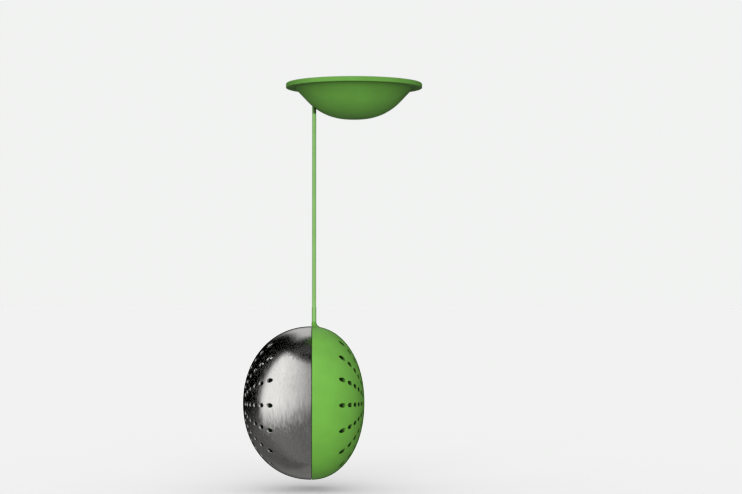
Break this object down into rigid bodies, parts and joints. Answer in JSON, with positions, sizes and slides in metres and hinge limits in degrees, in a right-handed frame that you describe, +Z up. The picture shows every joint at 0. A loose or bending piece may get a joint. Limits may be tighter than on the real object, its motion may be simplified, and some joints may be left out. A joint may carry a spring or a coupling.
{
  "type": "tea infuser",
  "caption": "Egg-shaped tea infuser: perforated steel and silicone half shells that pull apart, hanging on a thin silicone cord from a small round drip dish.",
  "frame": {"origin": "centre of the drip dish's flat foot", "axes": "+Z up; the egg hangs below the dish at -Z and opens along X, with the steel half on the -X side and the silicone half on the +X side"},
  "size_m": [0.0704, 0.0538, 0.1559],
  "materials": {
    "green_silicone": "satin",
    "brushed_steel": "brushed"
  },
  "bodies": {
    "dish": {"drip_dish": "green_silicone", "cord_end_bead": "green_silicone"},
    "cord_01": {"cord_link_01": "green_silicone"},
    "cord_02": {"cord_link_02": "green_silicone"},
    "cord_03": {"cord_link_03": "green_silicone"},
    "cord_04": {"cord_link_04": "green_silicone"},
    "cord_05": {"cord_link_05": "green_silicone"},
    "cord_06": {"cord_link_06": "green_silicone"},
    "cord_07": {"cord_link_07": "green_silicone"},
    "cord_08": {"cord_link_08": "green_silicone"},
    "cord_09": {"cord_link_09": "green_silicone"},
    "cord_10": {"cord_link_10": "green_silicone"},
    "cord_11": {"cord_link_11": "green_silicone"},
    "cord_12": {"cord_link_12": "green_silicone"},
    "silicone_half": {"silicone_half_shell": "green_silicone"},
    "steel_half": {"steel_half_shell": "brushed_steel"}
  },
  "joints": [
    {"name": "cord_bend_01_side", "type": "hinge", "parent": "dish", "child": "cord_01", "pos_m": [-0.01575, 0, 0.002], "axis": [0, 1, 0], "range_deg": [-15, 15]},
    {"name": "cord_bend_02_front", "type": "hinge", "parent": "cord_01", "child": "cord_02", "pos_m": [-0.01575, 0, -0.00483], "axis": [1, 0, 0], "range_deg": [-15, 15]},
    {"name": "cord_bend_03_side", "type": "hinge", "parent": "cord_02", "child": "cord_03", "pos_m": [-0.01575, 0, -0.01167], "axis": [0, 1, 0], "range_deg": [-15, 15]},
    {"name": "cord_bend_04_front", "type": "hinge", "parent": "cord_03", "child": "cord_04", "pos_m": [-0.01575, 0, -0.0185], "axis": [1, 0, 0], "range_deg": [-15, 15]},
    {"name": "cord_bend_05_side", "type": "hinge", "parent": "cord_04", "child": "cord_05", "pos_m": [-0.01575, 0, -0.02533], "axis": [0, 1, 0], "range_deg": [-15, 15]},
    {"name": "cord_bend_06_front", "type": "hinge", "parent": "cord_05", "child": "cord_06", "pos_m": [-0.01575, 0, -0.03217], "axis": [1, 0, 0], "range_deg": [-15, 15]},
    {"name": "cord_bend_07_side", "type": "hinge", "parent": "cord_06", "child": "cord_07", "pos_m": [-0.01575, 0, -0.039], "axis": [0, 1, 0], "range_deg": [-15, 15]},
    {"name": "cord_bend_08_front", "type": "hinge", "parent": "cord_07", "child": "cord_08", "pos_m": [-0.01575, 0, -0.04583], "axis": [1, 0, 0], "range_deg": [-15, 15]},
    {"name": "cord_bend_09_side", "type": "hinge", "parent": "cord_08", "child": "cord_09", "pos_m": [-0.01575, 0, -0.05267], "axis": [0, 1, 0], "range_deg": [-15, 15]},
    {"name": "cord_bend_10_front", "type": "hinge", "parent": "cord_09", "child": "cord_10", "pos_m": [-0.01575, 0, -0.0595], "axis": [1, 0, 0], "range_deg": [-15, 15]},
    {"name": "cord_bend_11_side", "type": "hinge", "parent": "cord_10", "child": "cord_11", "pos_m": [-0.01575, 0, -0.06633], "axis": [0, 1, 0], "range_deg": [-15, 15]},
    {"name": "cord_bend_12_front", "type": "hinge", "parent": "cord_11", "child": "cord_12", "pos_m": [-0.01575, 0, -0.07317], "axis": [1, 0, 0], "range_deg": [-15, 15]},
    {"name": "egg_twist", "type": "hinge", "parent": "cord_12", "child": "silicone_half", "pos_m": [-0.01575, 0, -0.08], "axis": [0, 0, 1], "range_deg": [-180, 180]},
    {"name": "steel_half_pull", "type": "slide", "parent": "silicone_half", "child": "steel_half", "axis": [-1, 0, 0], "range_m": [0, 0.045]}
  ]
}
